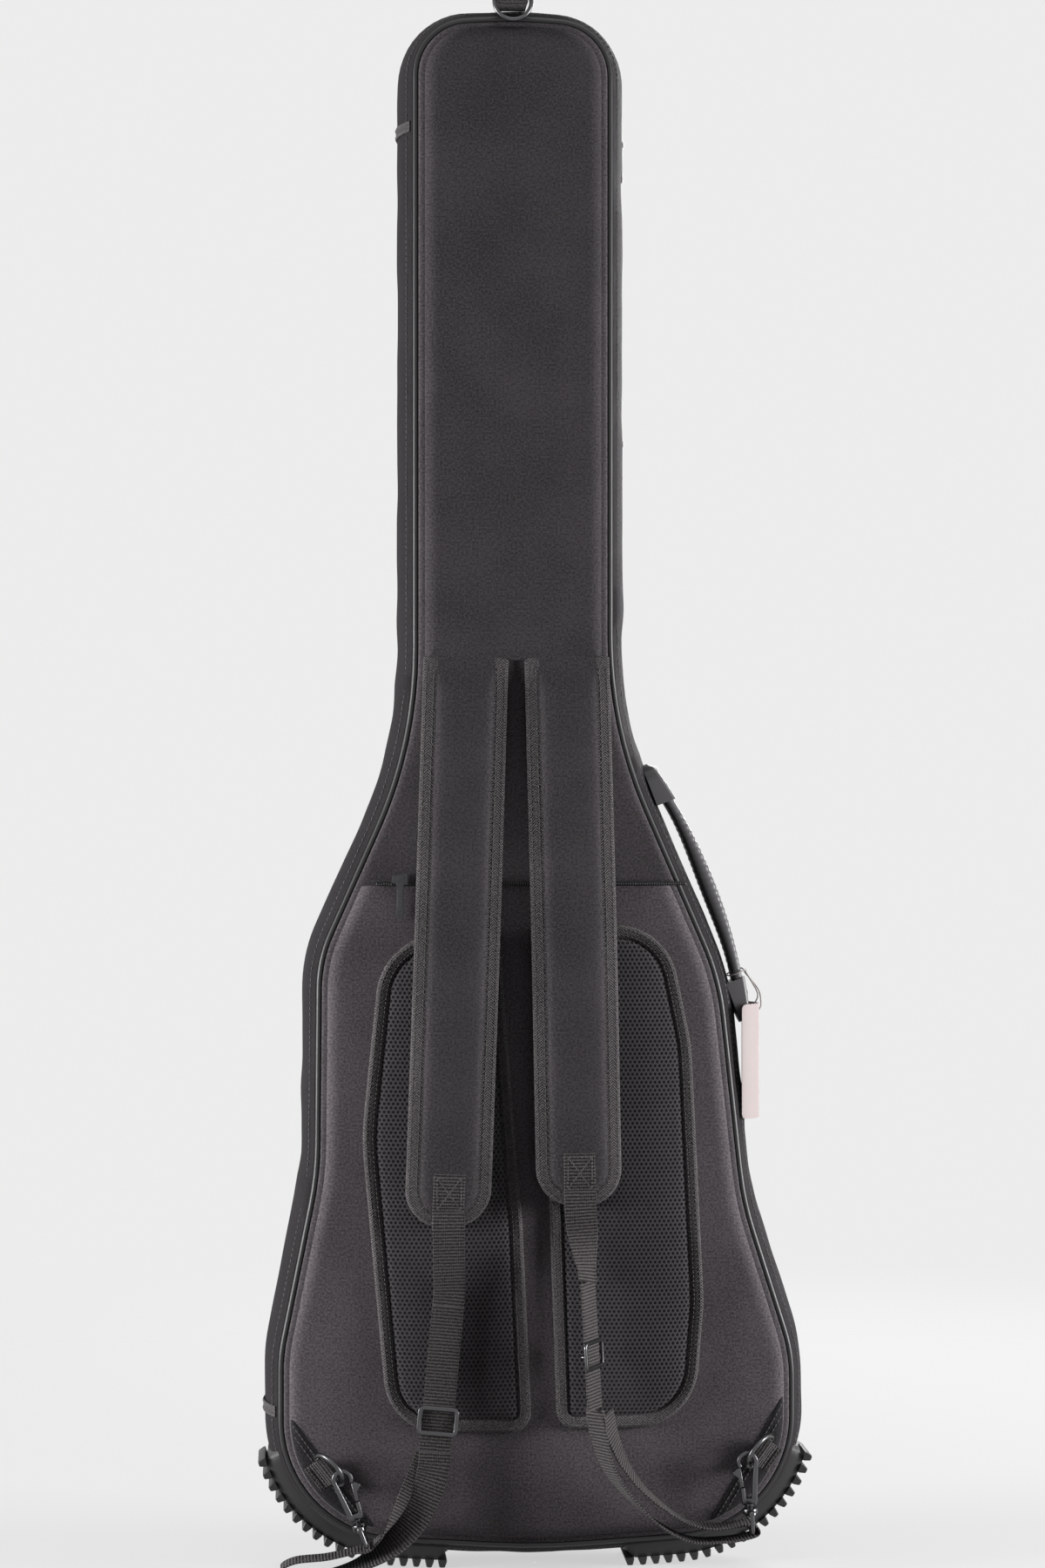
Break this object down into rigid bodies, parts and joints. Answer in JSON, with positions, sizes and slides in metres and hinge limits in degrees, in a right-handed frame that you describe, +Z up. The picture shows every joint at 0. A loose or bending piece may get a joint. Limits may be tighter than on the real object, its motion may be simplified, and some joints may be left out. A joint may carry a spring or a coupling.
{
  "type": "padded gig bag",
  "caption": "Padded bass guitar gig bag standing upright, with zipped lid, shoulder straps, mesh back pads, moulded side handle, pockets and rubber corner bumpers.",
  "frame": {"origin": "on the floor, under the middle of the bag's bounding box", "axes": "+X to the right seen from the strapped back, +Y from the back through the depth towards the lid, +Z up along the neck"},
  "size_m": [0.4388, 0.1714, 1.2567],
  "materials": {
    "outer_fabric": "woven coated polyester, dark charcoal",
    "piping": "smooth coated piping cord",
    "foam": "closed-cell foam under cloth",
    "lining": "short-pile grey lining",
    "mesh": "open air-mesh over foam",
    "webbing": "ribbed polypropylene webbing",
    "zip": "nylon coil on woven tape",
    "rubber": "satin moulded rubber",
    "steel": "nickel plate with light wear",
    "zip_metal": "gunmetal die casting",
    "paper": "matt card, bare",
    "string": "white twisted string"
  },
  "bodies": {
    "bag": {"back_foam": "foam", "back_lining": "lining", "back_panel": "outer_fabric", "neck_panel": "outer_fabric", "pocket_panel": "outer_fabric", "pocket_zip": "zip", "back_piping": "piping", "gusset_rear": "outer_fabric", "main_zip_rear": "zip", "handle_cap_upper": "rubber", "handle_cap_lower": "rubber", "handle_grip": "rubber", "handle_rivets": "steel", "hang_loop": "webbing", "bumper_left": "rubber", "bumper_right": "rubber", "mesh_pad_left": "mesh", "mesh_pad_right": "mesh", "corner_patches": "outer_fabric", "neck_cradle": "foam", "end_pad": "foam", "tag_string": "string"},
    "lid": {"lid_foam": "foam", "lid_lining": "lining", "lid_panel": "outer_fabric", "lid_piping": "piping", "gusset_front": "outer_fabric", "main_zip_front": "zip", "front_pocket": "outer_fabric", "front_pocket_zip": "zip", "hinge_fold": "outer_fabric"},
    "slider_upper": {"zip_slider_upper": "zip_metal"},
    "pull_upper": {"zip_pull_upper": "zip_metal"},
    "slider_lower": {"zip_slider_lower": "zip_metal"},
    "pull_lower": {"zip_pull_lower": "zip_metal"},
    "pocket_runner": {"pocket_slider": "zip_metal"},
    "pocket_tab": {"pocket_pull": "zip_metal"},
    "front_runner": {"front_slider": "zip_metal"},
    "front_tab": {"front_pull": "zip_metal"},
    "strap_l": {"strap_left": "outer_fabric", "webbing_top_left": "webbing"},
    "strap_r": {"strap_right": "outer_fabric", "webbing_top_right": "webbing"},
    "web_l": {"webbing_mid_left": "webbing", "webbing_lower_left": "webbing"},
    "web_r": {"webbing_mid_right": "webbing", "webbing_lower_right": "webbing"},
    "glide_l": {"tri_glide_left": "steel"},
    "glide_r": {"tri_glide_right": "steel"},
    "dring_l": {"ring_left": "steel"},
    "dring_r": {"ring_right": "steel"},
    "snap_l": {"hook_left": "steel"},
    "snap_r": {"hook_right": "steel"},
    "gate_l": {"gate_left": "steel"},
    "gate_r": {"gate_right": "steel"},
    "swivel_l": {"eye_left": "steel"},
    "swivel_r": {"eye_right": "steel"},
    "dring_top": {"top_ring": "steel"},
    "tag": {"hang_tag": "paper"}
  },
  "joints": [
    {"name": "lid_open", "type": "hinge", "parent": "bag", "child": "lid", "pos_m": [-0.21246, 0.05, 0.16872], "axis": [0.1031, 0, 0.9947], "range_deg": [0, 105], "deforming": ["hinge_fold"]},
    {"name": "strap_left_lift", "type": "hinge", "parent": "bag", "child": "strap_l", "pos_m": [-0.0573, -0.0326, 0.722], "axis": [-1, 0, 0], "range_deg": [0, 10], "deforming": ["webbing_top_left"]},
    {"name": "webbing_left_follow", "type": "hinge", "parent": "bag", "child": "web_l", "pos_m": [-0.0573, -0.0326, 0.722], "axis": [-1, 0, 0], "range_deg": [0, 5], "deforming": ["webbing_lower_left"]},
    {"name": "strap_right_lift", "type": "hinge", "parent": "bag", "child": "strap_r", "pos_m": [0.0234, -0.0326, 0.722], "axis": [-1, 0, 0], "range_deg": [0, 10], "deforming": ["webbing_top_right"]},
    {"name": "webbing_right_follow", "type": "hinge", "parent": "bag", "child": "web_r", "pos_m": [0.0234, -0.0326, 0.722], "axis": [-1, 0, 0], "range_deg": [0, 5], "deforming": ["webbing_lower_right"]},
    {"name": "buckle_left_slide", "type": "slide", "parent": "web_l", "child": "glide_l", "axis": [0.0909, 0, 0.9959], "range_m": [-0.012, 0.07]},
    {"name": "buckle_right_slide", "type": "slide", "parent": "web_r", "child": "glide_r", "axis": [-0.0549, 0, 0.9985], "range_m": [-0.03, 0.044]},
    {"name": "ring_left_tilt", "type": "hinge", "parent": "bag", "child": "dring_l", "pos_m": [-0.1687, -0.0475, 0.084], "axis": [0.6157, 0, -0.788], "range_deg": [-4, 6]},
    {"name": "hook_left_swing", "type": "hinge", "parent": "bag", "child": "snap_l", "pos_m": [-0.1552, -0.06, 0.0776], "axis": [0, 1, 0], "range_deg": [-5, 5]},
    {"name": "gate_left_open", "type": "hinge", "parent": "snap_l", "child": "gate_l", "pos_m": [-0.14536, -0.06, 0.0627], "axis": [0, -1, 0], "range_deg": [0, 10], "stiffness_Nm_per_rad": 0.02},
    {"name": "swivel_left_turn", "type": "hinge", "parent": "snap_l", "child": "swivel_l", "pos_m": [-0.1552, -0.06, 0.0776], "axis": [-0.3502, 0, 0.9367], "range_deg": [-15, 15]},
    {"name": "ring_right_tilt", "type": "hinge", "parent": "bag", "child": "dring_r", "pos_m": [0.1778, -0.0475, 0.095], "axis": [0.5878, 0, 0.809], "range_deg": [-4, 6]},
    {"name": "hook_right_swing", "type": "hinge", "parent": "bag", "child": "snap_r", "pos_m": [0.1646, -0.06, 0.0882], "axis": [0, 1, 0], "range_deg": [-5, 5]},
    {"name": "gate_right_open", "type": "hinge", "parent": "snap_r", "child": "gate_r", "pos_m": [0.16161, -0.06, 0.0706], "axis": [0, 1, 0], "range_deg": [0, 10], "stiffness_Nm_per_rad": 0.02},
    {"name": "swivel_right_turn", "type": "hinge", "parent": "snap_r", "child": "swivel_r", "pos_m": [0.1646, -0.06, 0.0882], "axis": [-0.0576, 0, 0.9983], "range_deg": [-15, 15]},
    {"name": "top_ring_swing", "type": "hinge", "parent": "bag", "child": "dring_top", "pos_m": [-0.02, -0.037, 1.25223], "axis": [-1, 0, 0], "range_deg": [0, 150]},
    {"name": "zip_upper_slide", "type": "slide", "parent": "bag", "child": "slider_upper", "axis": [0, 0, 1], "range_m": [-0.19, 0]},
    {"name": "pull_upper_swing", "type": "hinge", "parent": "slider_upper", "child": "pull_upper", "pos_m": [0.07368, 0.0455, 1.15], "axis": [1, 0, 0], "range_deg": [-70, 70]},
    {"name": "zip_lower_slide", "type": "slide", "parent": "bag", "child": "slider_lower", "axis": [0, 0, 1], "range_m": [-0.14, 0]},
    {"name": "pull_lower_swing", "type": "hinge", "parent": "slider_lower", "child": "pull_lower", "pos_m": [0.07368, 0.0455, 0.905], "axis": [1, 0, 0], "range_deg": [-70, 70]},
    {"name": "pocket_zip_slide", "type": "slide", "parent": "bag", "child": "pocket_runner", "axis": [1, 0, 0], "range_m": [0, 0.22]},
    {"name": "pocket_pull_swing", "type": "hinge", "parent": "pocket_runner", "child": "pocket_tab", "pos_m": [-0.11, -0.0447, 0.5521], "axis": [0, 1, 0], "range_deg": [-70, 70]},
    {"name": "front_zip_slide", "type": "slide", "parent": "lid", "child": "front_runner", "axis": [-1, 0, 0], "range_m": [0, 0.19]},
    {"name": "front_pull_swing", "type": "hinge", "parent": "front_runner", "child": "front_tab", "pos_m": [0.074, 0.0827, 0.5661], "axis": [0, 1, 0], "range_deg": [-70, 70]},
    {"name": "tag_swing", "type": "hinge", "parent": "bag", "child": "tag", "pos_m": [0.1816, 0.006, 0.444], "axis": [0, -1, 0], "range_deg": [0, 20]}
  ],
  "couplings": [
    {"joint": "webbing_left_follow", "follows": "strap_left_lift", "ratio": 0.5},
    {"joint": "webbing_right_follow", "follows": "strap_right_lift", "ratio": 0.5}
  ]
}
